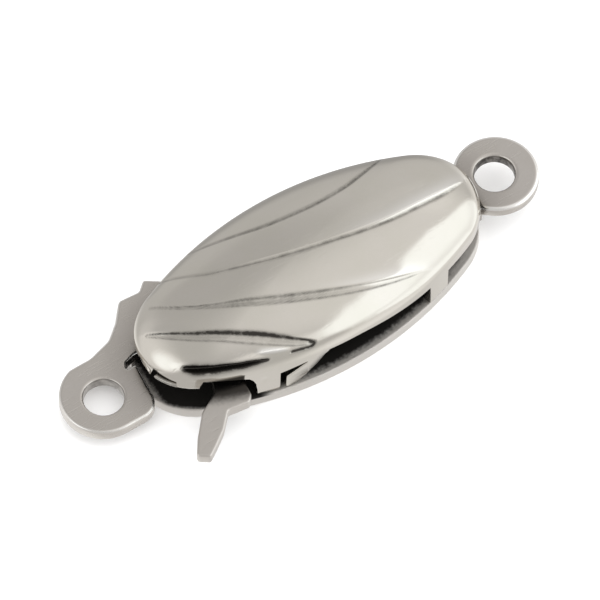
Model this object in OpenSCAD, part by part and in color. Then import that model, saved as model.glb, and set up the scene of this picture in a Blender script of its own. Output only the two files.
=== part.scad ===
// Oval box clasp for a necklace or bracelet, in silver sheet.
// +X points to the ring on the box, +Y to the back and +Z up, and the clasp lies on its base plate.
// The origin is the centre of the base plate's underside. Sizes are in millimetres.

/* [Box] */
// Length of the oval cover
box_len = 14.1; // [13.9:0.05:14.3]
// Width of the oval cover
box_w = 6.5; // [6.4:0.05:6.8]
// Radius of the cover's two ends, seen from above
end_r = 2.2; // [2.0:0.05:2.4]
// Thickness of the base plate
base_t = 0.5; // [0.4:0.05:0.5]
// How far the base plate stands out beyond the cover's sides
base_rim = 0.08; // [0.04:0.01:0.12]
// Height of the cover's rim, where the wall turns into the dome
rim_z = 2.05; // [2.0:0.01:2.1]
// Rise of the dome above that rim
dome_h = 1.8; // [1.6:0.1:2.2]
// Thickness of the cover's sheet
cover_t = 0.35; // [0.25:0.05:0.4]

/* [Rings] */
// Outside diameter of both rings
ring_d = 3.2; // [2.9:0.05:3.4]
// Diameter of the holes in both rings
hole_d = 1.5; // [1.2:0.05:1.6]
// Thickness of both ring plates
ring_t = 0.55; // [0.45:0.05:0.55]
// Centre of the box's ring, from the middle of the box
box_ring_x = 8.3; // [8.2:0.05:8.5]
// Height of the underside of the box's ring
box_ring_z = 1.0; // [0.9:0.05:1.1]
// Centre of the tongue's ring, from the middle of the box
tongue_ring_x = -8.72; // [-8.8:0.02:-8.6]

/* [Spring tongue] */
// Width of the spring leaf
leaf_w = 1.3; // [1.1:0.05:1.3]
// Thickness of the spring leaf
leaf_t = 0.5; // [0.4:0.05:0.5]
// Gap between the tongue and the spring leaf that is folded over it
fold_gap = 0.1; // [0.08:0.01:0.12]
// Place of the fold, from the middle of the box
fold_x = 3.0; // [2.6:0.1:3.2]

/* [Hidden] */
$fn = 96;
bright = [0.80, 0.78, 0.75];
dull = [0.70, 0.68, 0.65];
seam = 0.04;
half_len = box_len / 2;
half_w = box_w / 2;

// The oval of four arcs: an end arc has its centre on X, and a side arc has its centre on Y.
end_x = half_len - end_r;
side_y = (pow(end_x, 2) - pow(half_w - end_r, 2)) / (2 * (half_w - end_r));
side_r = half_w + side_y;
end_turn = atan2(side_y, end_x);
end_run = end_r * end_turn * PI / 180;
side_run = side_r * (180 - 2 * end_turn) * PI / 180;
rim_run = 2 * end_run + side_run;
join_x = side_r * cos(end_turn);

// Turn is the angle of the rim's normal: 0 at the tongue's end, 90 at the side and 180 at the box's ring.
function turn_at(x) = x < -join_x ? acos(min(1, (-x - end_x) / end_r))
    : x > join_x ? acos(max(-1, (end_x - x) / end_r))
    : acos(-x / side_r);

// Run is the length along the rim, from the tongue's end.
function run_at(turn) = turn < end_turn ? end_r * turn * PI / 180
    : turn < 180 - end_turn ? end_run + side_r * (turn - end_turn) * PI / 180
    : end_run + side_run + end_r * (turn - 180 + end_turn) * PI / 180;
function turn_of(run) = run < end_run ? run / end_r * 180 / PI
    : run < end_run + side_run ? end_turn + (run - end_run) / side_r * 180 / PI
    : 180 - end_turn + (run - end_run - side_run) / end_r * 180 / PI;

// A point of the rim, moved outwards by grow. Side is -1 at the front and 1 at the back.
function rim(turn, side, grow) = turn < end_turn
    ? [-end_x - (end_r + grow) * cos(turn), side * (end_r + grow) * sin(turn)]
    : turn > 180 - end_turn
    ? [end_x - (end_r + grow) * cos(turn), side * (end_r + grow) * sin(turn)]
    : [-(side_r + grow) * cos(turn), side * ((side_r + grow) * sin(turn) - side_y)];

oval_steps = 60;

module oval(grow) polygon([
    for (side = [-1, 1], i = [0:oval_steps - 1])
        let (run = rim_run * (side < 0 ? i : oval_steps - i) / oval_steps)
        rim(turn_of(run), side, grow)
]);

// An outline with rounded corners, from rows of x, y and corner radius.
function unit(v) = v / norm(v);
function flat(row) = [row[0], row[1]];
function corner(before, here, after, r, steps = 6) = r == 0 ? [here] :
    let (
        a = unit(before - here),
        b = unit(after - here),
        half = acos(a * b) / 2,
        centre = here + unit(a + b) * r / sin(half),
        start = here + a * r / tan(half) - centre,
        sweep = (a[0] * b[1] - a[1] * b[0] > 0 ? -1 : 1) * (180 - 2 * half),
        from = atan2(start[1], start[0])
    )
    [for (i = [0:steps]) centre + r * [cos(from + sweep * i / steps), sin(from + sweep * i / steps)]];
function rounded(rows) = let (n = len(rows)) [
    for (i = [0:n - 1])
        each corner(flat(rows[(i + n - 1) % n]), flat(rows[i]), flat(rows[(i + 1) % n]), rows[i][2])
];

// Base plate: the oval, which stands out a little more under the mouth.
sill_rim = 0.15;

module base_plate() color(dull) linear_extrude(base_t) {
    oval(base_rim);
    translate([-end_x, 0]) circle(end_r + sill_rim);
}

// Ring lug: a strap that stands on the base plate, bent out over its edge, with the box's ring.
strap_half_w = 0.93;
strap_t = 0.5;
strap_x = half_len + 0.05;
box_hole_x = box_ring_x - 0.05;

module ring_lug() color(dull) {
    translate([strap_x - strap_t, -strap_half_w, base_t])
        cube([strap_t, 2 * strap_half_w, box_ring_z + ring_t - base_t]);
    translate([0, 0, box_ring_z]) difference() {
        union() {
            translate([box_ring_x, 0, 0]) cylinder(h = ring_t, d = ring_d);
            translate([strap_x - strap_t, -strap_half_w, 0])
                cube([box_ring_x - strap_x + strap_t, 2 * strap_half_w, ring_t]);
        }
        translate([box_hole_x, 0, -1]) cylinder(h = ring_t + 2, d = hole_d);
    }
}

// Cover: its lower edge is a table of stretches, and what hangs lowest are its legs.
// Each row has the x where a stretch starts and ends, and the height of the edge at both.
foot_z = base_t + seam;
edge_z = 1.9;
low_z = 1.7;
lip_z = 1.87;
mouth_z = rim_z + 0.15;
relief_z = rim_z + 0.25;
tip_x = half_len;
near_tip = half_len - 0.005;
front_edge = [
    [-tip_x, -6.99, edge_z, edge_z],      // end, over the tongue
    [-6.97, -6.45, relief_z, lip_z],      // relief that runs down to the lip
    [-6.42, -5.76, lip_z, lip_z + 0.06],  // lip that catches the lever
    [-5.72, -4.4, mouth_z, mouth_z],      // mouth, over the lever
    [-4.35, -4.0, 2.1, 1.7],
    [-3.97, -3.88, 1.55, 1.0],
    [-3.86, -3.02, foot_z, foot_z],       // front leg at the mouth
    [-2.99, -2.79, edge_z, edge_z],       // slit
    [-2.76, -1.25, foot_z, edge_z],       // slanted tab
    [-1.2, 0.3, edge_z, edge_z],          // long window
    [0.33, 3.51, edge_z, low_z],
    [3.54, 4.44, foot_z, foot_z],         // front leg at the ring
    [4.47, 5.9, low_z, low_z],            // short window
    [5.95, tip_x, low_z, edge_z]
];
back_edge = [
    [near_tip, 4.47, edge_z, edge_z],
    [4.44, 3.54, foot_z, foot_z],
    [3.51, -2.99, edge_z, edge_z],
    [-3.02, -3.86, foot_z, foot_z],
    [-3.89, -near_tip, edge_z, edge_z]
];
column_step = 0.4;
dome_steps = 9;
second_step = 14;

// A column has a turn, a side and the height of its foot.
function columns(row, side) =
    let (
        from = run_at(turn_at(row[0])),
        to = run_at(turn_at(row[1])),
        n = max(1, ceil(abs(to - from) / column_step))
    )
    [for (i = [0:n]) [turn_of(from + (to - from) * i / n), side, row[2] + (row[3] - row[2]) * i / n]];
all_columns = [
    for (row = front_edge) each columns(row, -1),
    for (row = back_edge) each columns(row, 1)
];

// The cover swells out at the ring's end: from the middle on at the front, and only round the end at the back.
swell = 0.1;
function ease(t) = let (c = min(1, max(0, t))) c * c * (3 - 2 * c);
function bulge(turn, side) = swell * ease(side < 0 ? (turn - 90) / 14 : (turn - 115) / 65);

// One column of a dome: its foot, then angles from the rim up to just short of the top.
// Only the first angle goes with the foot, so that the rows above it run level.
function climb(column, inset) =
    let (
        edge = rim(column[0], column[1], bulge(column[0], column[1]) - inset),
        rise = dome_h - inset,
        foot = column[2] < rim_z ? 0 : asin((column[2] - rim_z) / rise),
        first = column[2] < rim_z ? 0 : (foot + second_step) / 2
    )
    concat(
        [[edge[0] * cos(foot), edge[1] * cos(foot), column[2]]],
        [for (j = [0:dome_steps - 1])
            let (a = j == 0 ? first : second_step + (90 - second_step) * (j - 1) / (dome_steps - 1))
            [edge[0] * cos(a), edge[1] * cos(a), rim_z + rise * sin(a)]]
    );

// Two triangles of a four-sided face.
function quad(a, b, c, d) = [[a, b, c], [a, c, d]];

module cover() color(bright) {
    n = len(all_columns);
    m = dome_steps + 1;
    outer = [for (c = all_columns) each climb(c, 0)];
    inner = [for (c = all_columns) each climb(c, cover_t)];
    tops = [[0, 0, rim_z + dome_h], [0, 0, rim_z + dome_h - cover_t]];
    faces = [
        for (i = [0:n - 1])
            let (
                p = i * m,
                q = (i + 1) % n * m,
                below = n * m
            )
            each concat(
                [for (j = [0:m - 2]) each quad(p + j, p + j + 1, q + j + 1, q + j)],
                [for (j = [0:m - 2])
                    each quad(below + p + j, below + q + j, below + q + j + 1, below + p + j + 1)],
                quad(p, q, below + q, below + p),
                [[p + m - 1, 2 * n * m, q + m - 1]],
                [[below + p + m - 1, below + q + m - 1, 2 * n * m + 1]]
            )
    ];
    polyhedron(points = concat(outer, inner, tops), faces = faces);
}

// Tongue: the ring plate, its neck and the plate inside the box. Rows have x, y and corner radius.
tongue_z = base_t + 0.05;
fold_z = tongue_z + ring_t + fold_gap / 2;
leaf_front = -0.85 - leaf_w;
tongue_hole_x = tongue_ring_x - 0.03;
tongue_ring_y = 0.1;
tongue_rows = [
    [tongue_ring_x, tongue_ring_y - ring_d / 2, 0],
    [-7.35, tongue_ring_y - ring_d / 2, 0.45],
    [-7.35, 0.6, 0.1],
    [-6.9, 0.93, 0.1],
    [-4.7, 0.93, 0.3],
    [-4.3, -0.7, 0.3],
    [fold_x - 1, -0.7, 0],
    [fold_x - 1, leaf_front, 0.2],
    [fold_x - 0.05, leaf_front, 0],
    [fold_x - 0.05, 2.1, 0.6],
    [-4.0, 2.1, 0.1],
    [-4.07, 2.8, 0.1],
    [-4.91, 3.4, 0.12],
    [-5.3, 3.06, 0.15],
    [-6.15, 3.12, 0.25],
    [-6.75, 2.4, 0.4],
    [-7.35, 1.9, 0.6],
    [-8.3, tongue_ring_y + 1.53, 0.8],
    [-8.9, tongue_ring_y + 1.53, 0]
];

module tongue() color(dull) translate([0, 0, tongue_z]) difference() {
    union() {
        linear_extrude(ring_t) polygon(rounded(tongue_rows));
        translate([tongue_ring_x, tongue_ring_y, 0]) cylinder(h = ring_t, d = ring_d);
    }
    translate([tongue_hole_x, 0, -1]) cylinder(h = ring_t + 2, d = hole_d);
}

// Lever: the spring leaf folded over the tongue, with the thumb tab that stands out of the mouth.
lever_rows = [
    [fold_x, -0.85, 0],
    [-4.9, -0.85, 0.3],
    [-5.45, -2.3, 0.3],
    [-6.3, -2.8, 0.25],
    [-7.0, -3.6, 0.8],
    [-7.42, -4.2, 0.12],
    [-7.0, -4.5, 0.12],
    [-6.55, -4.2, 0.3],
    [-6.0, -3.8, 0.2],
    [-5.45, -3.22, 0.1],
    [-4.6, -3.33, 0.1],
    [-4.37, -3.1, 0.1],
    [-4.25, leaf_front, 0.12],
    [fold_x, leaf_front, 0]
];

module lever() color(dull) {
    translate([0, 0, fold_z + fold_gap / 2]) linear_extrude(leaf_t) polygon(rounded(lever_rows));
    translate([fold_x, -0.85, fold_z]) rotate([90, 0, 0]) linear_extrude(leaf_w) intersection() {
        difference() {
            circle(fold_gap / 2 + leaf_t);
            circle(fold_gap / 2);
        }
        translate([0, -1]) square(2);
    }
}

base_plate();
ring_lug();
cover();
tongue();
lever();
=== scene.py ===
import math
import bpy
import numpy as np
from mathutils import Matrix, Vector
from mathutils.geometry import tessellate_polygon


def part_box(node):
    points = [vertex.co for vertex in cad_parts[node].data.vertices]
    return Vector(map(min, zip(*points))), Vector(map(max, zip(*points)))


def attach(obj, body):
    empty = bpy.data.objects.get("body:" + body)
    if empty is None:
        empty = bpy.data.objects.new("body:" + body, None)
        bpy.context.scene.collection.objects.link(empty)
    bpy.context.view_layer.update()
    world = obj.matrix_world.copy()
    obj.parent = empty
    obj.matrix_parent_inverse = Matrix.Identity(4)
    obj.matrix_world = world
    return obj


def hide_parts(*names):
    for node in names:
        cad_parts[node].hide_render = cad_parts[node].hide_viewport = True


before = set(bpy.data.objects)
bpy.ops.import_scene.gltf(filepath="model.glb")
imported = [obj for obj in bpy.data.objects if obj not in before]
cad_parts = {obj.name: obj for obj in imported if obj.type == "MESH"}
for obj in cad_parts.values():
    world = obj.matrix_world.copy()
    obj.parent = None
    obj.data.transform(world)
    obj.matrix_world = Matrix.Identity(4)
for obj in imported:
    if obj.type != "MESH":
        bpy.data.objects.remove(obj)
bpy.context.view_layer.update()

# An oval box clasp in silver sheet. All sizes below are in millimetres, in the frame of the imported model.
mm = 0.001


def boxOf(node):
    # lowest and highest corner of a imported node, in millimetres
    low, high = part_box(node)
    return np.array(low) / mm, np.array(high) / mm


baseLow, baseHigh = boxOf("base_plate")
lugLow, lugHigh = boxOf("ring_lug")
coverLow, coverHigh = boxOf("cover")
tongueLow, tongueHigh = boxOf("tongue")
leverLow, leverHigh = boxOf("lever")


# camera

view = {
    "turn": -32.93,            # degrees round from the front
    "above": 59.26,            # degrees above the floor
    "distance": 300.0,
    "target": (-0.205, 0.103, 0.0),
    "lens": 491.2,
    "sensor": 36.0,
    "clip": (0.01, 20.0),      # nearest and farthest that is drawn, in metres
}


def aim(turn, above):
    # unit vector from the object to a place at this turn and height angle
    a, e = math.radians(turn), math.radians(above)
    return Vector((math.sin(a) * math.cos(e), -math.cos(a) * math.cos(e), math.sin(e)))


def makeCamera():
    # a long lens that looks back along its aim, from so far off that lines stay nearly parallel
    lens = bpy.data.cameras.new("camera")
    lens.lens = view["lens"]
    lens.sensor_width = view["sensor"]
    lens.clip_start, lens.clip_end = view["clip"]
    camera = bpy.data.objects.new("camera", lens)
    back = aim(view["turn"], view["above"])
    camera.location = (Vector(view["target"]) + back * view["distance"]) * mm
    camera.rotation_mode = "QUATERNION"
    camera.rotation_quaternion = back.to_track_quat("Z", "Y")
    bpy.context.collection.objects.link(camera)
    bpy.context.scene.camera = camera


makeCamera()


# meshes from arrays

def gridFaces(rows, columns, first=0, closed=False):
    # the four corners of each cell of a grid whose columns, and its rows too if closed, join up at their ends
    i, j = np.meshgrid(np.arange(rows if closed else rows - 1), np.arange(columns), indexing="ij")
    down, k = (i + 1) % rows, (j + 1) % columns
    cells = np.stack([i * columns + j, i * columns + k, down * columns + k, down * columns + j], -1)
    return first + cells.reshape(-1, 4)


def makePiece(name, shells, body, replaced):
    # one object from several shells, each with its points, its faces and a value per point that darkens it
    # above
    # 0, for stains and for painted shade, and lays on a painted highlight below 0
    points, faces, stainAndPaintedLight, first = [], [], [], 0
    for shell in shells:
        points.append(shell["points"])
        stainAndPaintedLight.append(shell.get("stainAndPaintedLight", np.zeros(len(shell["points"]))))
        faces += [[first + index for index in face] for face in shell["faces"]]
        first += len(shell["points"])
    mesh = bpy.data.meshes.new(name)
    mesh.from_pydata((np.concatenate(points) * mm).tolist(), [], faces)
    layer = mesh.attributes.new("stainAndPaintedLight", "FLOAT", "POINT")
    layer.data.foreach_set("value", np.concatenate(stainAndPaintedLight).astype(np.float32))
    mesh.polygons.foreach_set("use_smooth", np.ones(len(mesh.polygons), dtype=bool))
    mesh.update()
    piece = bpy.data.objects.new(name, mesh)
    bpy.context.collection.objects.link(piece)
    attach(piece, body)
    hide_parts(replaced)
    print(name, len(mesh.polygons), "faces")
    return piece


def smoothStep(value, low, high):
    # 0 at low and 1 at high, with a smooth S between them; high may be the smaller one
    t = np.clip((value - low) / (high - low), 0, 1)
    return t * t * (3 - 2 * t)


def splineThrough(knots, steps):
    # Catmull-Rom curve through rows of knots, with this many steps between two of them: a cubic whose slope
    # at a knot is half the way from the knot before to the knot after
    k = np.asarray(knots, float)
    k = np.vstack([2 * k[0] - k[1], k, 2 * k[-1] - k[-2]])
    t = np.linspace(0, 1, steps, endpoint=False)[:, None, None]
    a, b, c, d = k[:-3], k[1:-2], k[2:-1], k[3:]
    square, cube = 2 * a - 5 * b + 4 * c - d, 3 * b - a - 3 * c + d
    curve = 0.5 * (2 * b + (c - a) * t + square * t ** 2 + cube * t ** 3)
    return np.vstack([curve.transpose(1, 0, 2).reshape(-1, k.shape[1]), k[-2]])


# the oval: four arcs, whose turn is the angle of the rim's normal, 0 at the tongue's end and pi at the ring's

cover = {
    "length": -2 * coverLow[0],
    "width": -2 * coverLow[1],
    "swell": coverHigh[0] + coverLow[0],     # how far the cover bulges out at the ring's end
    "frontSwell": (90.0, 104.0),     # degrees of turn between which the front swells out
    "backSwell": (115.0, 180.0),     # and the back
    "endRadius": 2.2,
    "rimHeight": 2.05,
    "sheet": 0.35,
    "edgeRound": 0.07,
    "columnStep": 0.07,        # spacing of the grid along the rim
    "wallTop": 2.24,           # height down to which all columns share their rows
    "wallRows": 12,            # rows from there to the edge
    "domeRows": 104,           # rows from there to the top
    "crowding": 1.25,          # above 1 those rows crowd together near the rim
    "innerRows": 6,
    "edgePaintedShade": 0.5,           # painted shade on the wall's lower edge, which faces down
    # painted shade all over the cover's inside
    "insidePaintedShade": 1.6,
}
cover["rise"] = coverHigh[2] - cover["rimHeight"]
halfLength, halfWidth = cover["length"] / 2, cover["width"] / 2

# the end arcs are centred at endX on either side, and the side arcs sideY beyond the middle, so that two arcs
# have the same slope where they meet
endX = halfLength - cover["endRadius"]
sideY = (endX ** 2 - (halfWidth - cover["endRadius"]) ** 2) / (2 * (halfWidth - cover["endRadius"]))
sideRadius = halfWidth + sideY
endTurn = math.atan2(sideY, endX)
endRun = cover["endRadius"] * endTurn
sideRun = sideRadius * (math.pi - 2 * endTurn)


def turnAt(x):
    # turn of the rim where it passes x
    join = sideRadius * math.cos(endTurn)
    atEnd = np.arccos(np.clip((np.abs(x) - endX) / cover["endRadius"], -1, 1))
    atSide = np.arccos(np.clip(np.abs(x) / sideRadius, -1, 1))
    turn = np.where(np.abs(x) > join, atEnd, atSide)
    return np.where(x > 0, math.pi - turn, turn)


def runAt(turn):
    # length along the rim from the tongue's end
    return np.select(
        [turn < endTurn, turn < math.pi - endTurn],
        [cover["endRadius"] * turn, endRun + sideRadius * (turn - endTurn)],
        endRun + sideRun + cover["endRadius"] * (turn - math.pi + endTurn))


def turnOf(run):
    # the reverse of runAt
    return np.select(
        [run < endRun, run < endRun + sideRun],
        [run / cover["endRadius"], endTurn + (run - endRun) / sideRadius],
        math.pi - endTurn + (run - endRun - sideRun) / cover["endRadius"])


def rimPoint(turn, side, grow):
    # four arcs: two ends of the small radius and two sides of the large one, all moved outwards by grow
    small, large = cover["endRadius"] + grow, sideRadius + grow
    c, s = np.cos(turn), np.sin(turn)
    atTongue, atRing = turn < endTurn, turn > math.pi - endTurn
    x = np.select([atTongue, atRing], [-endX - small * c, endX - small * c], -large * c)
    y = np.where(atTongue | atRing, small * s, large * s - sideY)
    return x, side * y


def bulge(turn, side):
    # the swelling: from the middle on at the front, and only round the end at the back
    degrees = np.degrees(turn)
    return cover["swell"] * np.where(side < 0, smoothStep(degrees, *cover["frontSwell"]),
                                     smoothStep(degrees, *cover["backSwell"]))


def ovalScale(x, y, largest=1.3, halvings=28):
    # how many times the rim's size is the oval that passes a place, found by halving
    low, high = np.zeros_like(x), np.full_like(x, largest)
    side = np.sign(y + 1e-12)
    for _ in range(halvings):
        scale = (low + high) / 2
        px, py = np.abs(x) / scale, np.abs(y) / scale
        angleAtEnd = np.arctan2(py, np.maximum(px - endX, 1e-9))
        atEnd = angleAtEnd < endTurn
        angle = np.where(atEnd, angleAtEnd, np.arctan2(py + sideY, px))
        swell = bulge(np.where(x > 0, math.pi - angle, angle), side)
        outside = np.where(atEnd, np.hypot(px - endX, py) > cover["endRadius"] + swell,
                           np.hypot(px, py + sideY) > sideRadius + swell)
        low, high = np.where(outside, scale, low), np.where(outside, high, scale)
    return (low + high) / 2


def domeHeight(x, y):
    # an ellipse over the oval's scale
    return cover["rimHeight"] + cover["rise"] * np.sqrt(1 - np.clip(ovalScale(x, y), 0, 1) ** 2)


def outwardNormals(points, step=0.002):
    # slope of scale squared plus height squared, which is 1 all over the dome
    x, y, z = points.T
    up = np.clip((z - cover["rimHeight"]) / cover["rise"], 0, 1)
    slopeX = (ovalScale(x + step, y) ** 2 - ovalScale(x - step, y) ** 2) / (2 * step)
    slopeY = (ovalScale(x, y + step) ** 2 - ovalScale(x, y - step) ** 2) / (2 * step)
    normal = np.stack([slopeX, slopeY, 2 * up / cover["rise"]], -1)
    return normal / np.linalg.norm(normal, axis=1, keepdims=True)


# cover: an oval dome on a wall, whose lower edge runs up and down between the legs

# x where a stretch of the lower edge starts and ends, and the edge's height at both
frontEdge = [
    (-7.05, -6.99, 1.9, 1.88),     # end, over the tongue
    (-6.98, -6.52, 2.19, 2.1),     # slit over the lip's free end
    (-6.5, -5.87, 1.93, 1.93),     # lip
    (-5.85, -5.75, 1.97, 2.13),
    (-5.73, -5.45, 2.15, 2.09),    # mouth
    (-5.43, -4.9, 2.09, 2.0),
    (-4.88, -4.42, 1.99, 1.87),
    (-4.4, -4.14, 1.86, 1.76),
    (-4.12, -4.0, 1.73, 1.58),
    (-3.98, -3.9, 1.52, 1.3),
    (-3.89, -3.86, 1.15, 0.9),
    (-3.85, -3.02, 0.54, 0.54),    # front leg at the mouth
    (-3.0, -1.95, 1.57, 1.73),     # slit over the tab
    (-1.93, -1.54, 0.82, 1.15),    # root of the tab
    (-1.53, -1.08, 1.17, 1.87),
    (-1.06, 0.3, 1.91, 1.85),      # long window
    (0.33, 1.6, 1.85, 1.73),
    (1.63, 3.51, 1.73, 1.62),
    (3.53, 4.44, 0.54, 0.54),      # front leg at the ring
    (4.46, 5.9, 1.6, 1.55),        # short window
    (5.93, 7.05, 1.57, 1.9),
]
backEdge = [
    (7.049, 4.46, 1.9, 1.9),
    (4.44, 3.54, 0.54, 0.54),
    (3.52, -3.0, 1.9, 1.9),
    (-3.02, -3.86, 0.54, 0.54),
    (-3.88, -7.049, 1.9, 1.88),
]
lip = {
    "start": -7.0,             # x where the lip starts and ends
    "end": -5.85,
    "fade": 0.1,               # how far beyond its ends it is gone, and how far inside its start it is whole
    "whole": 0.05,
    "out": 0.12,               # how far its lower edge is bent out
    "bendTop": 2.25,           # heights between which it bends
    "bendLow": 1.93,
    "bendPower": 1.5,
}
slant = {
    # x and height of both ends of the tab's slanted edge, which is rolled in and darkened with painted shade
    "from": (-2.41, 0.41),
    "to": (-1.06, 1.91),
    "past": 0.05,              # how far past its upper end it is gone
    "before": 0.35,            # how far before that end it is whole
    "width": 0.38,
    "into": 0.05,
    # how dark the painted shade is
    "shade": 0.5,
    "darkest": 0.05,           # distance above the edge at which the painted shade is full
    "below": 0.3,              # how far below the edge the painted shade reaches
}


def slantAt(x, z):
    # distance above the slanted edge, and how near its upper end is: 1 along it and 0 past that end
    (x0, z0), (x1, z1) = slant["from"], slant["to"]
    length = math.hypot(x1 - x0, z1 - z0)
    above = ((z - z0) * (x1 - x0) - (x - x0) * (z1 - z0)) / length
    along = ((x - x0) * (x1 - x0) + (z - z0) * (z1 - z0)) / length
    return above, smoothStep(along, length + slant["past"], length - slant["before"])


def frontBend(turn, side, z):
    # how far the front wall stands out: the lip by a power of the depth below its top, less the square of the
    # nearness to the slanted edge
    x = rimPoint(turn, -1.0, 0)[0]
    fromStart = smoothStep(x, lip["start"] - lip["fade"], lip["start"] + lip["whole"])
    along = fromStart * smoothStep(x, lip["end"] + lip["fade"], lip["end"])
    below = np.clip((lip["bendTop"] - z) / (lip["bendTop"] - lip["bendLow"]), 0, 1.2)
    above, near = slantAt(x, z)
    rolled = np.clip(1 - above / slant["width"], 0, 1.3) ** 2 * near
    return np.where(side < 0, lip["out"] * along * below ** lip["bendPower"] - slant["into"] * rolled, 0)


def slantPaintedShade(points):
    # painted shade along the slanted edge, on the front wall
    x, y, z = points.T
    above, near = slantAt(x, z)
    shade = slant["shade"] * smoothStep(above, slant["width"], slant["darkest"])
    return shade * near * (y < 0) * (above > -slant["below"])


def skin(turn, side, z, inset):
    # below the rim an upright wall; above it an ellipse, whose plan shrinks by the root of 1 less the square
    # of height / rise
    up = np.clip((z - cover["rimHeight"]) / (cover["rise"] - inset), 0, 1)
    x, y = rimPoint(turn, side, bulge(turn, side) + frontBend(turn, side, z) - inset)
    shrink = np.sqrt(1 - up ** 2)
    return np.stack([x * shrink, y * shrink, z + 0 * x], -1)


def edgeColumns(rows, side):
    # turn, side and edge height of each column of the grid, along one side of the oval
    out = []
    for x0, x1, z0, z1 in rows:
        run0, run1 = runAt(turnAt(np.array([x0, x1])))
        count = max(2, int(abs(run1 - run0) / cover["columnStep"]) + 1)
        t = np.linspace(0, 1, count)
        out.append(np.stack([turnOf(run0 + (run1 - run0) * t), np.full(count, side), z0 + (z1 - z0) * t], -1))
    return np.concatenate(out)
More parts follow.
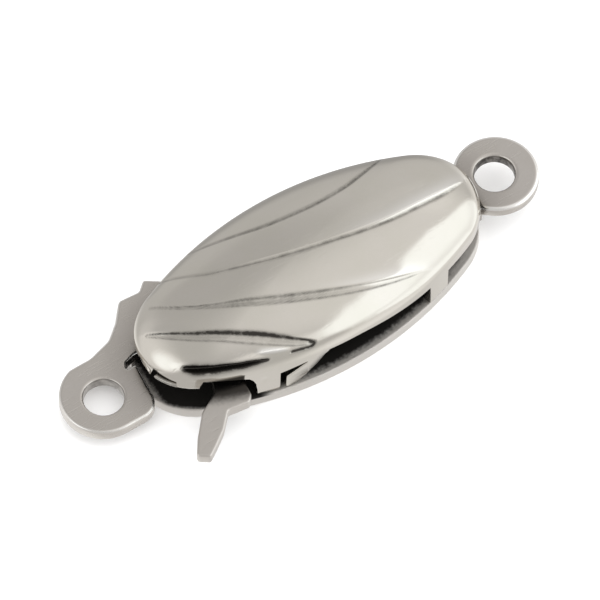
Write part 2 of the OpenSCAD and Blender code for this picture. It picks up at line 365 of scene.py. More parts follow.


# Grooves, from the tongue's end to the ring's. Knots are x, y, half width, depth, and the height of the ridge
# behind it. Across, a groove goes from -1 at its back to 1 at its front: deepest says where its bottom is,
# and stains are place, width, and strength at both ends of the groove. Sheen says how bright a highlight is
# painted on a ridge, for 1 mm of its height; the last entry is there for its painted highlight.
grooves = {
    "back": {
        "deepest": 0.1,
        "ridgeWidth": 0.3,
        "paintedSheen": 0.0,
        "stains": [(-0.1, 0.75, 0.4, 0.8)],
        "knots": [
            (-4.2, 2.95, 0.08, 0.0, 0.0), (-3.04, 2.43, 0.1, 0.02, 0.0), (-2.0, 2.02, 0.1, 0.025, 0.0),
            (-0.73, 1.62, 0.11, 0.03, 0.0), (0.45, 1.45, 0.11, 0.035, 0.0), (1.5, 1.4, 0.11, 0.035, 0.0),
            (2.64, 1.5, 0.11, 0.035, 0.0), (3.54, 1.74, 0.11, 0.035, 0.0), (4.5, 2.08, 0.08, 0.02, 0.0),
            (4.9, 2.22, 0.05, 0.0, 0.0),
        ],
    },
    "middle": {
        "deepest": 0.3,
        "ridgeWidth": 0.42,
        "paintedSheen": 10.0,
        "stains": [(0.25, 0.75, 0.3, 0.8)],
        "knots": [
            (-4.9, 2.21, 0.08, 0.02, 0.0), (-3.78, 1.24, 0.1, 0.025, 0.0), (-2.62, 0.71, 0.1, 0.03, 0.0),
            (-1.39, 0.28, 0.11, 0.035, 0.0), (-0.29, -0.04, 0.11, 0.035, 0.0),
            (0.85, -0.28, 0.11, 0.035, 0.0), (2.0, -0.49, 0.11, 0.035, 0.03),
            (3.23, -0.61, 0.11, 0.035, 0.06), (4.55, -0.59, 0.11, 0.035, 0.085),
            (5.71, -0.5, 0.1, 0.03, 0.085), (6.7, -0.24, 0.05, 0.0, 0.03),
        ],
    },
    "front": {
        "deepest": -0.3,
        "ridgeWidth": 0.34,
        "paintedSheen": 14.0,
        "stains": [(-0.7, 0.4, 0.6, 0.65), (0.05, 0.5, 0.3, 0.3), (0.75, 0.28, 0.3, 0.8)],
        "knots": [
            (-5.88, 1.34, 0.06, 0.02, 0.0), (-5.08, 0.54, 0.07, 0.025, 0.0), (-4.2, -0.1, 0.09, 0.03, 0.0),
            (-3.2, -0.66, 0.15, 0.04, 0.0), (-2.3, -1.13, 0.17, 0.04, 0.0), (-1.3, -1.58, 0.17, 0.04, 0.0),
            (-0.26, -1.97, 0.17, 0.04, 0.02), (0.82, -2.3, 0.15, 0.04, 0.05), (1.77, -2.5, 0.13, 0.04, 0.065),
            (2.57, -2.61, 0.1, 0.03, 0.06), (3.3, -2.66, 0.05, 0.0, 0.02),
        ],
    },
    "leaf": {
        "deepest": -0.5,
        "ridgeWidth": 0.25,
        "paintedSheen": 5.0,
        "stains": [(-0.72, 0.42, 0.95, 1.3), (0.05, 0.5, 0.2, 0.3), (0.78, 0.22, 0.5, 0.6)],
        "knots": [
            (-6.56, 0.5, 0.06, 0.02, 0.02), (-6.0, -0.08, 0.13, 0.05, 0.045), (-5.3, -0.7, 0.18, 0.06, 0.03),
            (-4.6, -1.2, 0.21, 0.07, 0.01), (-3.95, -1.65, 0.23, 0.07, 0.0), (-3.35, -2.04, 0.24, 0.08, 0.0),
            (-2.75, -2.42, 0.22, 0.08, 0.0), (-2.2, -2.73, 0.17, 0.07, 0.0), (-1.85, -2.88, 0.12, 0.05, 0.0),
            (-1.62, -2.98, 0.08, 0.03, 0.0),
        ],
    },
    "hook": {
        "deepest": 0.0,
        "ridgeWidth": 0.2,
        "paintedSheen": 0.0,
        "stains": [(0.0, 0.9, 1.3, 1.3)],
        "knots": [
            (-1.7, -2.93, 0.07, 0.03, 0.0), (-1.6, -2.99, 0.08, 0.03, 0.0), (-1.74, -3.02, 0.08, 0.03, 0.0),
            (-2.0, -2.97, 0.08, 0.03, 0.0), (-2.45, -2.87, 0.07, 0.03, 0.0),
        ],
    },
    "shoulder": {
        "deepest": -0.1,
        "ridgeWidth": 0.3,
        "paintedSheen": 0.0,
        "stains": [(0.0, 0.85, 2.4, 2.4)],
        "knots": [
            (-6.1, -1.42, 0.14, 0.2, 0.0), (-5.84, -1.64, 0.2, 0.26, 0.0), (-5.38, -1.92, 0.19, 0.26, 0.0),
            (-4.88, -2.14, 0.17, 0.24, 0.0), (-4.37, -2.35, 0.15, 0.21, 0.0), (-3.83, -2.53, 0.12, 0.15, 0.0),
            (-3.3, -2.69, 0.05, 0.0, 0.0),
        ],
    },
    "crease": {
        "deepest": 0.0,
        "ridgeWidth": 0.2,
        "paintedSheen": 0.0,
        "stains": [(0.0, 0.8, 0.3, 0.3)],
        "knots": [
            (-7.03, 0.14, 0.05, 0.0, 0.0), (-7.01, -0.29, 0.06, 0.02, 0.0), (-6.92, -0.63, 0.06, 0.02, 0.0),
            (-6.74, -0.95, 0.06, 0.0, 0.0),
        ],
    },
    # a painted highlight in front of the leaf's tip, on a faint ridge
    "paintedGlint": {
        "deepest": 0.0,
        "ridgeWidth": 0.14,
        "paintedSheen": 75.0,
        "stains": [],
        "knots": [
            (-3.75, -2.33, 0.08, 0.0, 0.0), (-3.4, -2.47, 0.1, 0.0, 0.02), (-2.9, -2.66, 0.1, 0.0, 0.02),
            (-2.5, -2.8, 0.08, 0.0, 0.0),
        ],
    },
}
dimple = {
    "x": -3.62,
    "height": 1.5,
    "radius": 0.2,
    "flat": 0.3,               # share of its radius in which it is deepest
    "depth": 0.03,
}


def grooveCut(points, steps=10, stained=0.03):
    # for each point: how deep the grooves cut there, less the ridges behind them, and how dark their stains
    # are, which goes below 0 where a painted highlight lies on a ridge. Stains fade out where a groove is
    # shallower than stained.
    depth, ridges, stainAndPaintedLight, paintedSheen = (np.zeros(len(points)) for _ in range(4))
    rows = np.arange(len(points))
    for groove in grooves.values():
        curve = splineThrough(groove["knots"], steps)
        line = np.stack([curve[:, 0], curve[:, 1], domeHeight(curve[:, 0], curve[:, 1])], -1)
        a, b = line[:-1], line[1:]
        along = np.einsum("pki,ki->pk", points[:, None] - a, b - a) / np.einsum("ki,ki->k", b - a, b - a)
        along = np.clip(along, 0, 1)
        off = points[:, None] - (a + along[..., None] * (b - a))
        gap = np.linalg.norm(off, axis=-1)
        nearest = gap.argmin(1)
        t = along[rows, nearest]
        half, deep, ridge = curve[nearest, 2:].T * (1 - t) + curve[nearest + 1, 2:].T * t
        run, across = (b - a)[nearest], off[rows, nearest]
        front = np.sign(run[:, 1] * across[:, 0] - run[:, 0] * across[:, 1])
        v = front * gap[rows, nearest] / half
        low = groove["deepest"]
        cut = np.where(v < low, smoothStep(v, -1, low), smoothStep(v, 1, low))
        depth = np.maximum(depth, deep * cut)
        behind = np.maximum(0, -v * half) / groove["ridgeWidth"]
        crest = ridge * np.exp(-behind ** 2) * smoothStep(v, 1, -1)
        ridges += crest
        # painted highlight along the ridge
        paintedSheen += groove["paintedSheen"] * crest
        fade = smoothStep(deep, 0.0, stained)
        share = (nearest + t) / len(a)
        for place, width, first, last in groove["stains"]:
            strength = first + (last - first) * share
            stainAndPaintedLight = np.maximum(stainAndPaintedLight, strength * fade * np.exp(-((v - place) / width) ** 2))
    return depth - ridges, stainAndPaintedLight - np.clip(paintedSheen, 0, 1) * (1 - np.clip(stainAndPaintedLight, 0, 1))


def makeCover():
    # a column for each place along the rim, whose rows run down outside, round the edge and up inside
    columns = np.concatenate([edgeColumns(frontEdge, -1.0), edgeColumns(backEdge, 1.0)])
    turn, side, edge = columns.T
    count = len(columns)
    rounding, sheet = cover["edgeRound"], cover["sheet"]
    roof = cover["rimHeight"] + cover["rise"]

    # outside, from near the top down to the wall and on to the edge
    share = 1 - np.linspace(1, 0, cover["domeRows"] + 1)[1:] ** cover["crowding"]
    start = math.asin((cover["wallTop"] - cover["rimHeight"]) / cover["rise"])
    angles = start + (math.pi / 2 - start) * (1 - share)
    high = [skin(turn, side, cover["rimHeight"] + cover["rise"] * math.sin(a) + 0 * turn, 0) for a in angles]
    steps = np.linspace(0, 1, cover["wallRows"] + 1)[1:]
    low = [skin(turn, side, cover["wallTop"] + (edge + rounding - cover["wallTop"]) * t, 0) for t in steps]
    outer = np.vstack([np.stack(high + low).reshape(-1, 3), [0, 0, roof]])

    # pushed in by the grooves and by the dimple on the leg
    depth, outerStainAndPaintedLight = grooveCut(outer)
    spot = skin(turnAt(np.array([dimple["x"]])), np.array([-1.0]), np.array([dimple["height"]]), 0)
    away = np.linalg.norm(outer - spot, axis=1) / dimple["radius"]
    depth += dimple["depth"] * smoothStep(away, 1, dimple["flat"])
    outer = outer - outwardNormals(outer) * depth[:, None]
    outerStainAndPaintedLight = outerStainAndPaintedLight + slantPaintedShade(outer)
    top, outer = outer[-1], outer[:-1].reshape(-1, count, 3)

    # round the edge and up the inside
    close = 0.3 * rounding
    bend = [(close, close), (rounding, 0.0), (sheet - rounding, 0.0), (sheet - close, close),
            (sheet, rounding)]
    turned = [skin(turn, side, edge + lift, inset) for inset, lift in bend]
    up = np.linspace(0, 1, cover["innerRows"] + 1)[1:]
    inner = [skin(turn, side, edge + rounding + (cover["wallTop"] - edge) * t, sheet) for t in up]
    start = math.asin((cover["wallTop"] + rounding - cover["rimHeight"]) / (cover["rise"] - sheet))
    angles = np.linspace(start, math.pi / 2, 2 * cover["innerRows"] + 1)[1:-1]
    inner += [skin(turn, side, cover["rimHeight"] + (cover["rise"] - sheet) * math.sin(a) + 0 * turn, sheet)
              for a in angles]
    grid = np.concatenate([outer, np.stack(turned), np.stack(inner)])
    rows = len(grid)
    points = np.vstack([grid.reshape(-1, 3), top, [0, 0, roof - sheet]])
    above, under = rows * count, rows * count + 1
    ring = np.arange(count)
    last = (rows - 1) * count
    faces = gridFaces(rows, count)[:, ::-1].tolist()
    faces += np.stack([np.full(count, above), ring, (ring + 1) % count], -1).tolist()
    faces += np.stack([np.full(count, under), last + (ring + 1) % count, last + ring], -1).tolist()
    outerCount = len(outerStainAndPaintedLight) - 1
    # inside and on the lower edge painted shade; outside stains, painted shade and painted highlights
    stainAndPaintedLight = np.full(len(points), cover["insidePaintedShade"])
    stainAndPaintedLight[:outerCount] = outerStainAndPaintedLight[:-1]
    stainAndPaintedLight[outerCount:outerCount + 3 * count] = cover["edgePaintedShade"]
    stainAndPaintedLight[above] = outerStainAndPaintedLight[-1]
    return {"points": points, "faces": faces, "stainAndPaintedLight": stainAndPaintedLight}


# plates: an outline with a rounded edge, and flat faces with holes

def cornerArc(before, here, after, radius, count=13):
    # an arc of this radius that touches both sides of a corner
    if radius == 0:
        return here[None]
    a, b = (before - here) / np.linalg.norm(before - here), (after - here) / np.linalg.norm(after - here)
    half = math.acos(np.clip(a @ b, -1, 1)) / 2
    centre = here + (a + b) / np.linalg.norm(a + b) * radius / math.sin(half)
    start = here + a * radius / math.tan(half) - centre
    sweep = (-1 if a[0] * b[1] - a[1] * b[0] > 0 else 1) * (math.pi - 2 * half)
    angle = math.atan2(start[1], start[0]) + sweep * np.linspace(0, 1, count)
    return centre + radius * np.stack([np.cos(angle), np.sin(angle)], -1)


def roundedOutline(rows):
    # a closed line through rows of x, y and corner radius
    p = np.array(rows, float)
    before, after = np.roll(p, 1, 0), np.roll(p, -1, 0)
    return np.concatenate([cornerArc(before[i, :2], p[i, :2], after[i, :2], p[i, 2]) for i in range(len(p))])


def evenly(line, step):
    # the same closed line with points at an even spacing
    closed = np.vstack([line, line[:1]])
    run = np.concatenate([[0], np.cumsum(np.linalg.norm(np.diff(closed, axis=0), axis=1))])
    keep = np.concatenate([[True], np.diff(run) > 1e-9])
    at = np.linspace(0, run[-1], max(8, int(run[-1] / step)), endpoint=False)
    return np.stack([np.interp(at, run[keep], closed[keep, i]) for i in (0, 1)], -1)


def circleLine(x, y, radius, step=0.05):
    # a full circle, with its points about a step apart
    angle = np.linspace(0, 2 * math.pi, int(2 * math.pi * radius / step), endpoint=False)
    return np.stack([x + radius * np.cos(angle), y + radius * np.sin(angle)], -1)


def outwards(line):
    # unit normals of a closed line that runs counterclockwise
    along = np.roll(line, -1, 0) - np.roll(line, 1, 0)
    normal = np.stack([along[:, 1], -along[:, 0]], -1)
    return normal / np.linalg.norm(normal, axis=1, keepdims=True)


def signedArea(line):
    # half the sum of the cross products of neighbouring points, above 0 for a counterclockwise line
    x, y = line.T
    return 0.5 * np.sum(x * np.roll(y, -1) - y * np.roll(x, -1))


# angles of the points on the round of an edge, from the flat face to the wall
roundSteps = np.radians([90, 68, 45, 22, 0])


def plate(outline, holes, low, high, edge=0.06, holePaintedShade=0.0, paintedEdgeSheen=0.0, border=0.03):
    # every outline is carried round by one profile: in from the top, over a quarter round, down and in again
    # below. Hole walls are darkened with painted shade, and the outer edge gets a painted highlight on its
    # upper round.
    inset = np.concatenate([[edge + border], edge - edge * np.cos(roundSteps)])
    drop = np.concatenate([[0], edge - edge * np.sin(roundSteps)])
    inset, drop = np.concatenate([inset, inset[::-1]]), np.concatenate([high - drop, (low + drop)[::-1]])
    points, faces, stainAndPaintedLight, topRings, first = [], [], [], [], 0
    for index, line in enumerate([outline] + holes):
        wantsHole = index > 0
        if (signedArea(line) < 0) != wantsHole:
            line = line[::-1]
        normal = outwards(line)
        flat = line[None] - inset[:, None, None] * normal[None]
        height = np.broadcast_to(drop[:, None, None], flat.shape[:2] + (1,))
        points.append(np.concatenate([flat, height], -1).reshape(-1, 3))
        rounded = (inset > 0.05 * edge) & (inset < edge) & (drop > (low + high) / 2)
        # hole walls: painted shade; the outer edge's upper round: painted highlight
        rowPaintedLight = holePaintedShade * (inset < 0.1 * edge) if wantsHole else -paintedEdgeSheen * rounded
        stainAndPaintedLight.append(np.repeat(rowPaintedLight, len(line)))
        faces += gridFaces(len(inset), len(line), first)[:, ::-1].tolist()
        topRings.append((first, len(line)))
        first += len(inset) * len(line)
    points = np.concatenate(points)
    below = len(inset) - 1
    loops = [[Vector((*points[start + k][:2], 0)) for k in range(count)] for start, count in topRings]
    upper = [start + k for start, count in topRings for k in range(count)]
    under = [start + below * count + k for start, count in topRings for k in range(count)]
    for a, b, c in tessellate_polygon(loops):
        p, q, s = points[upper[a]], points[upper[b]], points[upper[c]]
        ccw = (q[0] - p[0]) * (s[1] - p[1]) - (q[1] - p[1]) * (s[0] - p[0]) > 0
        a, b, c = (a, b, c) if ccw else (a, c, b)
        faces.append([upper[a], upper[b], upper[c]])
        faces.append([under[a], under[c], under[b]])
    return {"points": points, "faces": faces, "stainAndPaintedLight": np.concatenate(stainAndPaintedLight)}


# plates on the front wall: rows of x, height and corner radius, how far they lean out at some places along x,
# and how dark they are: the lip strip's darkening is painted shade
tab = {
    "rows": [(-2.77, 1.24, 0.05), (-2.8, 0.56, 0.05), (-2.32, 0.56, 0.1), (-1.88, 0.86, 0), (-1.84, 1.6, 0),
             (-1.95, 1.7, 0)],
    "leanAt": [-2.78, -1.97, -1.84],
    "leanOut": [0.02, 0.0, -0.03],
    "stainAndPaintedLight": 0.0,
}
lipStrip = {
    "rows": [(-6.96, 1.95, 0.03), (-6.75, 1.93, 0), (-6.4, 1.93, 0), (-6.4, 2.05, 0), (-6.52, 2.05, 0),
             (-6.93, 2.03, 0.03)],
    "leanAt": [-6.95, -6.52, -6.4],
    "leanOut": [0.01, 0.0, -0.03],
    # painted shade on the sliver under the slit
    "stainAndPaintedLight": 0.4,
}
wallPlate = {"thinner": 0.05, "edge": 0.04, "step": 0.04}      # thinner than the cover's sheet by that much


def wallPatch(patch):
    # the outline is laid out along the rim's run, made a plate, and wrapped on the oval and its bends
    flat = [(float(runAt(turnAt(np.array(x)))), z, corner) for x, z, corner in patch["rows"]]
    outline = evenly(roundedOutline(flat), wallPlate["step"])
    shell = plate(outline, [], wallPlate["thinner"] - cover["sheet"], 0.0, wallPlate["edge"])
    run, z, out = shell["points"].T
    out = out + np.interp(run, runAt(turnAt(np.array(patch["leanAt"]))), patch["leanOut"])
    turn = turnOf(run)
    side = np.full(len(run), -1.0)
    x, y = rimPoint(turn, side, bulge(turn, side) + frontBend(turn, side, z) + out)
    shell["points"] = np.stack([x, y, z], -1)
    shell["stainAndPaintedLight"] = patch["stainAndPaintedLight"] + slantPaintedShade(shell["points"])
    return shell


coverPiece = makePiece("coverShell", [makeCover(), wallPatch(tab), wallPatch(lipStrip)],
                       "box", "cover")


# base plate: the oval, which stands out a little more under the mouth

base = {
    "beyond": 0.08,            # how far it stands out beyond the cover
    "beyondMouth": -baseLow[0] - halfLength,
    "mouthTurn": (endTurn + 0.06, endTurn - 0.03),     # turns between which it changes over
    "samples": 400,
    "step": 0.06,
}


def baseOutline():
    # the oval, moved out by one distance round the mouth's end and by another elsewhere
    turn = turnOf(np.linspace(0, runAt(np.array(math.pi)), base["samples"]))
    grow = base["beyond"] + (base["beyondMouth"] - base["beyond"]) * smoothStep(turn, *base["mouthTurn"])
    x, y = rimPoint(turn, -1.0, grow)
    half = np.stack([x, y], -1)
    return evenly(np.vstack([half, (half * [1, -1])[-2:0:-1]]), base["step"])


basePiece = makePiece("baseSheet", [plate(baseOutline(), [], baseLow[2], baseHigh[2])],
                      "box", "base_plate")


# ring lug: a strap that stands on the base plate, bends over outwards and ends in the box's ring

lug = {
    "ringX": 8.3,
    "ringRadius": 1.6,
    "holeX": 8.25,
    "holeRadius": 0.75,
    "sheet": 0.55,
    "strapHalf": 0.93,
    "strapX": 6.65,
    "strapEnd": 7.15,
    "bendX": 7.35,             # where the flat ring plate starts to bend down
    "bendRadius": 0.7,
    "bendMost": 0.97,          # share of a quarter circle's radius over which it bends
    "riserCorner": 0.1,
    "riserOverlap": 0.1,       # how far the upright strap reaches into the bend
    "edge": 0.13,
    # painted shade on the hole's wall
    "holePaintedShade": 0.85,
    # painted highlight on the outer edge's upper round
    "paintedEdgeSheen": 0.9,
    "samples": 80,
    "step": 0.04,
    "riserStep": 0.05,
}


def lugOutline():
    # a circle whose near side runs out into a strap
    meet = math.asin(lug["strapHalf"] / lug["ringRadius"])
    angle = np.linspace(-math.pi + meet, math.pi - meet, lug["samples"])
    arc = np.stack([lug["ringX"] + lug["ringRadius"] * np.cos(angle), lug["ringRadius"] * np.sin(angle)], -1)
    strap = [[lug["strapX"], lug["strapHalf"]], [lug["strapX"], -lug["strapHalf"]]]
    return evenly(np.vstack([arc, strap]), lug["step"])


def bentRing(columns=220, rows=16):
    # rays from the hole's centre, each carried round the plate's section: out on top, over, down, back below
    # and up. Towards the box the plate sinks along a circle. The hole's wall gets painted shade, the outer
    # edge a painted highlight.
    edge, low, high = lug["edge"], lugHigh[2] - lug["sheet"], lugHigh[2]
    angle = np.linspace(-math.pi, math.pi, columns, endpoint=False)
    off = lugOutline() - [lug["holeX"], 0]
    around = np.arctan2(off[:, 1], off[:, 0])
    order = np.argsort(around)
    reach = np.interp(angle, around[order], np.hypot(*off.T)[order], period=2 * math.pi)
    quarter = roundSteps[:, None]
    rimOut = reach - edge + edge * np.cos(quarter)
    holeOut = lug["holeRadius"] + edge - edge * np.cos(quarter) + 0 * reach
    down = edge - edge * np.sin(quarter) + 0 * reach
    across = np.linspace(0, 1, rows)[1:-1, None]
    flatOut = lug["holeRadius"] + edge + (reach - lug["holeRadius"] - 2 * edge) * across
    flat = 0 * flatOut
    out = np.concatenate([flatOut, rimOut, rimOut[::-1], flatOut[::-1], holeOut, holeOut[::-1]])
    z = np.concatenate([high + flat, high - down, low + down[::-1], low + flat, low + down,
                        high - down[::-1]])
    x, y = lug["holeX"] + out * np.cos(angle), out * np.sin(angle)
    into = np.clip(lug["bendX"] - x, 0, lug["bendMost"] * lug["bendRadius"])
    z = z - lug["bendRadius"] + np.sqrt(lug["bendRadius"] ** 2 - into ** 2)
    stainAndPaintedLight = np.zeros_like(x)
    # painted shade on the hole's wall, painted highlight on the outer edge's upper round
    stainAndPaintedLight[2 * (len(flat) + len(down)) + 3:-3] = lug["holePaintedShade"]
    stainAndPaintedLight[len(flat) + 1:len(flat) + len(down) - 1] = -lug["paintedEdgeSheen"]
    return {"points": np.stack([x, y, z], -1).reshape(-1, 3), "stainAndPaintedLight": stainAndPaintedLight.ravel(),
            "faces": gridFaces(len(out), columns, closed=True)[:, ::-1].tolist()}


def riser():
    # the upright part of the strap, from the base plate into the bend
    half, corner = lug["strapHalf"], lug["riserCorner"]
    outline = roundedOutline([(lug["strapX"], -half, corner), (lug["strapEnd"], -half, corner),
                              (lug["strapEnd"], half, corner), (lug["strapX"], half, corner)])
    top = lugHigh[2] - lug["bendRadius"] + lug["riserOverlap"]
    return plate(evenly(outline, lug["riserStep"]), [], lugLow[2], top)


lugPiece = makePiece("ringLug", [bentRing(), riser()], "box", "ring_lug")


# tongue: ring plate, neck with a nib at the back, and the strip inside the box

tongue = {
    "ringX": -8.72,
    "ringY": 0.1,
    "ringFront": -1.5,         # y of the ring's straight front side
    "ringArc": (107, 268),     # degrees between which its outline is round
    "holeX": -8.75,
    "holeRadius": 0.75,
    "edge": 0.09,
    # painted shade on the hole's wall
    "holePaintedShade": 0.55,
    # painted highlight on the outer edge's upper round
    "paintedEdgeSheen": 0.6,
    "notch": (-7.2, 0.7),      # middle of the notch between the ring and the neck, darkened with painted shade
    "notchReach": 0.36,        # how far its painted shade reaches
    "notchWhole": 0.7,         # share of that reach in which the painted shade is whole
    "notchBelow": 0.05,        # the painted shade stays this far below the top face
    "samples": 60,
    "step": 0.05,
}
tongue["ringRadius"] = tongue["ringX"] - tongueLow[0]

# rows of x, y and corner radius, from the ring's front round the strip to the ring's back
tongueRows = [
    (tongue["ringX"], tongue["ringFront"], 0), (-7.28, tongue["ringFront"], 0.7), (-7.0, 0.58, 0.13),
    (-7.44, 0.49, 0.05), (-7.3, 0.79, 0.08), (-6.9, 0.9, 0.1), (-4.7, 0.93, 0.3), (-4.3, -0.7, 0.3),
    (2.0, -0.7, 0.1), (2.0, -2.15, 0.2), (2.95, -2.15, 0.1), (2.95, 2.1, 0.6), (-4.0, 2.1, 0.1),
    (-4.07, 2.8, 0.1), (-4.91, 3.4, 0.12), (-5.3, 3.06, 0.15), (-6.15, 3.12, 0.25), (-6.75, 2.4, 0.4),
    (-7.35, 1.9, 0.6), (-8.3, 1.63, 0.8), (-8.9, 1.63, 0),
]


def tongueOutline():
    # the rows, and then the ring's own arc from its back to its front
    start, end = tongue["ringArc"]
    angle = np.linspace(math.radians(start), math.radians(end), tongue["samples"])
    arc = np.stack([tongue["ringX"] + tongue["ringRadius"] * np.cos(angle),
                    tongue["ringY"] + tongue["ringRadius"] * np.sin(angle)], -1)
    return evenly(np.vstack([roundedOutline(tongueRows), arc]), tongue["step"])


def notchPaintedShade(points):
    # painted shade: 1 in the notch and 0 beyond its reach, below the top face
    away = np.hypot(points[:, 0] - tongue["notch"][0], points[:, 1] - tongue["notch"][1])
    near = smoothStep(away, tongue["notchReach"], tongue["notchWhole"] * tongue["notchReach"])
    return near * (points[:, 2] < tongueHigh[2] - tongue["notchBelow"])


def makeTongue():
    # a plate with the ring's hole, with painted shade in the hole and in the notch
    hole = circleLine(tongue["holeX"], 0, tongue["holeRadius"])
    shell = plate(tongueOutline(), [hole], tongueLow[2], tongueHigh[2], tongue["edge"], tongue["holePaintedShade"],
                  tongue["paintedEdgeSheen"])
    shell["stainAndPaintedLight"] = shell["stainAndPaintedLight"] + notchPaintedShade(shell["points"])
    return shell


tonguePiece = makePiece("tongueSheet", [makeTongue()], "tongue", "tongue")


# lever: the spring leaf with its thumb tab, and the fold at its inner end

lever = {
    "foldX": 3.0,
    "leafY": -1.5,
    "leafHalf": 0.65,
    "sheet": 0.5,
    "gap": 0.1,                # between the leaf and the tongue under it
    "foldRows": 17,
    "foldCorner": 0.06,
    "foldStep": 0.06,
    "step": 0.05,
}
leafFront, leafBack = lever["leafY"] - lever["leafHalf"], lever["leafY"] + lever["leafHalf"]

# rows of x, y and corner radius: the leaf's back, the thumb tab and the leaf's front
leverRows = [
    (lever["foldX"], leafBack, 0.1), (-4.9, leafBack, 0.3), (-5.45, -2.3, 0.3), (-6.3, -2.8, 0.25),
    (-7.0, -3.6, 0.8), (-7.42, -4.2, 0.12), (-7.0, -4.5, 0.12), (-6.55, -4.2, 0.3), (-6.0, -3.8, 0.2),
    (-5.45, -3.22, 0.1), (-4.6, -3.33, 0.1), (-4.37, -3.1, 0.1), (-4.25, leafFront, 0.12),
    (lever["foldX"], leafFront, 0.1),
]


def foldShell():
    # a half tube: the section of the strip, a rounded bar, carried round a half turn
    turnSteps = np.linspace(-math.pi / 2, math.pi / 2, lever["foldRows"])
    inner, outer = lever["gap"] / 2, lever["gap"] / 2 + lever["sheet"]
    half, corner = lever["leafHalf"], lever["foldCorner"]
    section = evenly(roundedOutline([(inner, -half, corner), (outer, -half, corner), (outer, half, corner),
                                     (inner, half, corner)]), lever["foldStep"])
    middle = leverLow[2] + outer
    x = lever["foldX"] + np.cos(turnSteps)[:, None] * section[None, :, 0]
    z = middle + np.sin(turnSteps)[:, None] * section[None, :, 0]
    y = np.broadcast_to(lever["leafY"] + section[None, :, 1], x.shape)
    count = len(section)
    points = np.stack([x, y, z], -1).reshape(-1, 3)
    faces = gridFaces(len(turnSteps), count)[:, ::-1].tolist()
    faces.append(list(range(count)))
    faces.append(list(range(len(points) - 1, len(points) - count - 1, -1)))
    return {"points": points, "faces": faces}


def leafShell():
    # the flat leaf with its thumb tab, a plate
    outline = evenly(roundedOutline(leverRows), lever["step"])
    return plate(outline, [], leverHigh[2] - lever["sheet"], leverHigh[2])


leverPiece = makePiece("leverSheet", [leafShell(), foldShell()], "lever", "lever")


# shader writing: sockets with arithmetic, and one way to add any other node

class Wire:
    # an output socket; arithmetic on it adds Math nodes to its tree
    def __init__(self, recipe, socket):
        self.recipe, self.socket = recipe, socket

    def maths(self, operation, first, second):
        return self.recipe.add("Math", {"operation": operation}, {0: first, 1: second})

    def __add__(self, other):
        return self.maths("ADD", self, other)

    def __sub__(self, other):
        return self.maths("SUBTRACT", self, other)

    def __rsub__(self, other):
        return self.maths("SUBTRACT", other, self)

    def __mul__(self, other):
        return self.maths("MULTIPLY", self, other)

    __radd__ = __add__
    __rmul__ = __mul__


class Recipe:
    # the node tree of one material or world
    def __init__(self, owner):
        self.owner = owner
        owner.use_nodes = True
        self.nodes, self.links = owner.node_tree.nodes, owner.node_tree.links
        self.nodes.clear()

    def add(self, kind, settings, sockets, output=0):
        # a shader node with its settings, then values or links for its inputs; gives the named output
        node = self.nodes.new("ShaderNode" + kind)
        for key, value in settings.items():
            setattr(node, key, value)
        for key, value in sockets.items():
            if isinstance(value, Wire):
                self.links.new(value.socket, node.inputs[key])
            else:
                node.inputs[key].default_value = value
        return Wire(self, node.outputs[output]) if node.outputs else None

    def blendColours(self, amount, first, second):
        # a Mix node on colours
        return self.add("Mix", {"data_type": "RGBA"}, {0: amount, 6: first, 7: second}, 2)

    def ramp(self, value, low, high, smooth=True):
        # 0 at low and 1 at high
        kind = "SMOOTHSTEP" if smooth else "LINEAR"
        return self.add("MapRange", {"interpolation_type": kind},
                        {"Value": value, "From Min": low, "From Max": high})

    def noise(self, place, scale, detail, rough=0.5):
        # soft random patches, this many to a unit of the place
        return self.add("TexNoise", {}, {
            "Vector": place, "Scale": scale, "Detail": detail, "Roughness": rough})


def grey(level, red=1.0, blue=1.0):
    # a colour near grey, whose red and blue are shares of its green
    return (level * red, level, level * blue, 1.0)


# Finishes. The tone is mottled between bright and dull, and the roughness between its two ends; scratch and
# dent are how deep those are. Painted shade lies inside the box: it starts and is full at two scales of the
# oval, grain is how ragged its edge is, and it has a tone, and an amount at the wall and deeper in.
sheetBright, sheetDull = grey(0.64, 1.05, 0.95), grey(0.52, 1.06, 0.91)
finishes = {
    "polishedSilver": {
        "bright": grey(0.67, 1.055, 0.94),
        "dull": grey(0.62, 1.03, 0.88),
        "rough": (0.07, 0.13),
        "scratch": 0.25,
        "dent": 0.5,
    },
    "rolledSilver": {
        "bright": sheetBright,
        "dull": sheetDull,
        "rough": (0.16, 0.28),
        "scratch": 0.45,
        "dent": 0.6,
        "paintedBoxShade": {"start": 1.3, "full": 0.91, "grain": 0.06, "tone": 0.22, "atWall": 0.6, "deeper": 0.6},
    },
    "baseSilver": {
        "bright": grey(0.74, 1.04, 0.95),
        "dull": grey(0.64, 1.04, 0.95),
        "rough": (0.6, 0.72),
        "scratch": 0.9,
        "dent": 0.6,
        "paintedBoxShade": {"start": 0.99, "full": 0.9, "grain": 0.12, "tone": 0.02, "atWall": 0.97, "deeper": 0.97},
    },
    "leverSilver": {
        "bright": sheetBright,
        "dull": sheetDull,
        "rough": (0.24, 0.38),
        "scratch": 0.9,
        "dent": 0.6,
        "paintedBoxShade": {"start": 1.22, "full": 1.08, "grain": 0.06, "tone": 0.03, "atWall": 0.95, "deeper": 0.55},
    },
}

# the base plate's painted shade reaches out to its edge under the mouth
finishes["baseSilver"]["mouth"] = {
    "from": (-3.2, -3.8),      # x where it changes over to the mouth's own scales, and where it has done so
    "start": 1.055,
    "full": 1.02,
    "grain": 0.03,
    "end": (-6.98, -6.75),     # x at the tongue's end where it is gone, and where it is whole
    "endGrain": 0.3,
    "height": (baseHigh[2] - 0.08, baseHigh[2] - 0.02),    # it lies on the top face: gone below, whole above
}
streakRows = [(0.5, 11.0), (-0.7, 14.0), (1.4, 12.0)]      # turn of the scratches, and how thin they are


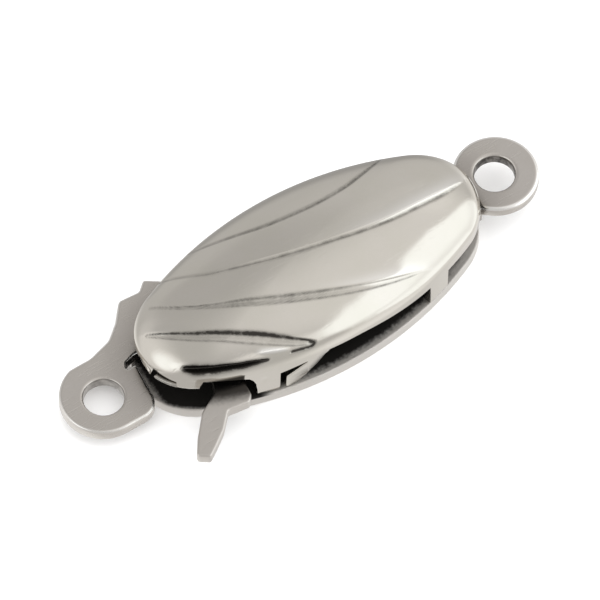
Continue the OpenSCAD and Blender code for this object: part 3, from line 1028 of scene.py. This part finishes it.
def scratches(tree, place):
    # the peaks of a noise that is drawn out long, in several directions
    streaks = 0.0
    for angle, stretch in streakRows:
        turned = tree.add("Mapping", {}, {
            "Vector": place, "Rotation": (0.0, 0.0, angle), "Scale": (1.0 / mm, stretch / mm, 4.0 / mm)})
        streaks = streaks + tree.ramp(tree.noise(turned, 1.0, 2.0), 0.64, 0.74) * 0.4
    return streaks


def paintedBoxShadeAmount(tree, finish, place, inMm, fine):
    # how dark the painted shade is: by its scale of the oval, and under the mouth by other scales, x and
    # height
    paintedBoxShade, mouth = finish["paintedBoxShade"], finish.get("mouth")
    fromMiddle = tree.add("Mapping", {}, {
        "Vector": place, "Scale": (1 / (halfLength * mm), 1 / (halfWidth * mm), 0.0)})
    reach = tree.add("VectorMath", {"operation": "LENGTH"}, {0: fromMiddle}, "Value")
    grain = fine - 0.5
    inside = tree.ramp(reach + grain * paintedBoxShade["grain"], paintedBoxShade["start"], paintedBoxShade["full"])
    if mouth:
        along = tree.add("SeparateXYZ", {}, {"Vector": inMm}, "X")
        height = tree.add("SeparateXYZ", {}, {"Vector": inMm}, "Z")
        atMouth = tree.ramp(along, *mouth["from"])
        insideEnd = tree.ramp(along + grain * mouth["endGrain"], *mouth["end"])
        belowMouth = tree.ramp(reach + grain * mouth["grain"], mouth["start"], mouth["full"]) * insideEnd
        inside = inside * (1 - atMouth) + belowMouth * atMouth
        inside = inside * tree.ramp(height, *mouth["height"])
    amount = tree.ramp(reach, 0.75, 0.95) * (paintedBoxShade["atWall"] - paintedBoxShade["deeper"]) + paintedBoxShade["deeper"]
    return inside * amount


def silver(name):
    # silver sheet: mottled tone, streaky scratches, shallow dents, stains and painted shade where the piece's
    # attribute is above 0, a painted highlight where it is below 0, and painted shade inside the box
    finish = finishes[name]
    tree = Recipe(bpy.data.materials.new(name))
    place = tree.add("TexCoord", {}, {}, "Object")
    inMm = tree.add("Mapping", {}, {"Vector": place, "Scale": (1 / mm, 1 / mm, 1 / mm)})
    broad = tree.noise(inMm, 0.6, 3.0)
    fine = tree.noise(inMm, 6.0, 5.0, 0.65)
    speck = tree.noise(inMm, 9.0, 3.0, 0.7)
    blotch = tree.noise(inMm, 2.6, 2.0)
    streaks = scratches(tree, place)
    stainAndPaintedLight = tree.add("Attribute", {"attribute_name": "stainAndPaintedLight"}, {}, "Fac")
    stainAndPaintedShade = tree.ramp(stainAndPaintedLight * (speck * 0.9 + blotch * 1.5 - 0.2), 0.0, 1.0, False)
    paintedSheen = tree.ramp(stainAndPaintedLight, 0.0, -1.0, False)
    tone = tree.blendColours(broad * 0.7 + fine * 0.3, finish["bright"], finish["dull"])
    # painted shade inside the box, which moves with each part
    if "paintedBoxShade" in finish:
        tone = tree.blendColours(paintedBoxShadeAmount(tree, finish, place, inMm, fine), tone,
                                 grey(finish["paintedBoxShade"]["tone"], 1.1, 0.9))
    # painted highlight: near white where the attribute is below 0
    tone = tree.blendColours(paintedSheen * 0.9, tone, grey(0.97, 1.01, 0.97))
    # stains and painted shade: near black where the attribute is above 0
    tone = tree.blendColours(stainAndPaintedShade * 0.95, tone, grey(0.03, 1.12, 0.88))
    smoothest, roughest = finish["rough"]
    rough = broad * (roughest - smoothest) + smoothest + fine * 0.06 + streaks * 0.12 + stainAndPaintedShade * 0.25
    relief = streaks * (-finish["scratch"]) + broad * finish["dent"] + fine * (0.15 * finish["dent"])
    normal = tree.add("Bump", {}, {"Strength": 1.0, "Distance": mm * 0.01, "Height": relief})
    shader = tree.add("BsdfPrincipled", {}, {
        "Base Color": tone, "Metallic": 1.0, "Roughness": rough, "Normal": normal})
    tree.add("OutputMaterial", {}, {"Surface": shader})
    return tree.owner


silvers = {name: silver(name) for name in finishes}
coverPiece.data.materials.append(silvers["polishedSilver"])
leverPiece.data.materials.append(silvers["leverSilver"])
basePiece.data.materials.append(silvers["baseSilver"])
for piece in (lugPiece, tonguePiece):
    piece.data.materials.append(silvers["rolledSilver"])
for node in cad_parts.values():
    node.data.materials.clear()
    node.data.materials.append(silvers["rolledSilver"])
print("silver done")


# floor and light

studio = {
    "floorSize": 900.0,
    "floorLevel": -0.02,       # just below the clasp
    "floorGrey": 0.93,
    "floorRough": 0.7,
    "room": 0.62,              # strength of the room's even light
    "most": 1.45,              # no part of the room is brighter
    "changeFrom": 0.9,         # strength from which its colour changes over
    "plainColour": grey(1.0, 1.015, 0.99),
    "glowColour": grey(1.0, 0.975, 1.01),
    # soft parts of that light: turn, height angle, inner and outer radius in degrees, and how much brighter
    "glows": [
        (52.0, 9.0, 38.5, 43.5, 0.62),
        (18.0, 13.0, 10.0, 20.0, 0.5),
        (58.0, 50.0, 20.0, 56.0, 0.27),
        (-88.0, 30.0, 8.0, 27.0, 0.5),
        (-110.0, 18.0, 20.0, 45.0, 0.28),
        (125.0, 25.0, 5.0, 40.0, 0.08),
        (-70.0, 38.0, 4.0, 13.0, 0.35),
        (-5.0, -60.0, 15.0, 50.0, 0.2),
        (35.0, -32.0, 10.0, 30.0, 0.3),
        (100.0, -32.0, 15.0, 42.0, 0.4),
        (114.0, 38.0, 4.0, 15.0, 0.1),
        (180.0, 48.0, 12.0, 30.0, -0.07),
        (150.0, -38.0, 15.0, 40.0, -0.2),
        (-130.0, -58.0, 20.0, 52.0, 0.45),
        (-5.0, 27.0, 4.0, 12.0, 0.4),
    ],
    "lamp": {"turn": 0.0, "above": 88.0, "distance": 420.0, "width": 900.0, "height": 900.0, "watts": 4.0},
}


def makeFloor():
    # a square of white paper
    half, level = studio["floorSize"] / 2 * mm, studio["floorLevel"] * mm
    mesh = bpy.data.meshes.new("floor")
    corners = [(-half, -half, level), (half, -half, level), (half, half, level), (-half, half, level)]
    mesh.from_pydata(corners, [], [(0, 1, 2, 3)])
    tree = Recipe(bpy.data.materials.new("paper"))
    shader = tree.add("BsdfPrincipled", {}, {
        "Base Color": grey(studio["floorGrey"]), "Roughness": studio["floorRough"]})
    tree.add("OutputMaterial", {}, {"Surface": shader})
    mesh.materials.append(tree.owner)
    floor = bpy.data.objects.new("floor", mesh)
    bpy.context.collection.objects.link(floor)
    # metal mirrors the studio's own lower half, so that the white paper doesn't wash out the sides
    floor.visible_glossy = False


def makeLamp(name, settings):
    # a large soft lamp that lights the floor but isn't mirrored in the metal
    light = bpy.data.lights.new(name, "AREA")
    light.shape = "RECTANGLE"
    light.size, light.size_y = settings["width"] * mm, settings["height"] * mm
    light.energy = settings["watts"]
    lamp = bpy.data.objects.new(name, light)
    back = aim(settings["turn"], settings["above"])
    lamp.location = back * settings["distance"] * mm
    lamp.rotation_mode = "QUATERNION"
    lamp.rotation_quaternion = back.to_track_quat("Z", "Y")
    lamp.visible_camera = False
    lamp.visible_glossy = False
    bpy.context.collection.objects.link(lamp)


def makeWorld():
    # an even room with soft glows: each is 1 within its inner radius and 0 beyond its outer one
    world = bpy.data.worlds.new("studio")
    tree = Recipe(world)
    direction = tree.add("TexCoord", {}, {}, "Generated")
    level = studio["room"]
    for turn, above, inner, outer, more in studio["glows"]:
        towards = tree.add("VectorMath", {"operation": "DOT_PRODUCT"},
                           {0: direction, 1: tuple(aim(turn, above))}, "Value")
        glow = tree.ramp(towards, math.cos(math.radians(outer)), math.cos(math.radians(inner)))
        level = level + glow * more
    level = tree.add("Math", {"operation": "MINIMUM"}, {0: level, 1: studio["most"]})
    colour = tree.blendColours(tree.ramp(level, studio["changeFrom"], studio["most"]), studio["plainColour"],
                               studio["glowColour"])
    background = tree.add("Background", {}, {"Color": colour, "Strength": level})
    tree.add("OutputWorld", {}, {"Surface": background})
    bpy.context.scene.world = world


makeFloor()
makeLamp("top", studio["lamp"])
makeWorld()
bpy.context.scene.view_settings.view_transform = "Standard"
print("studio done")
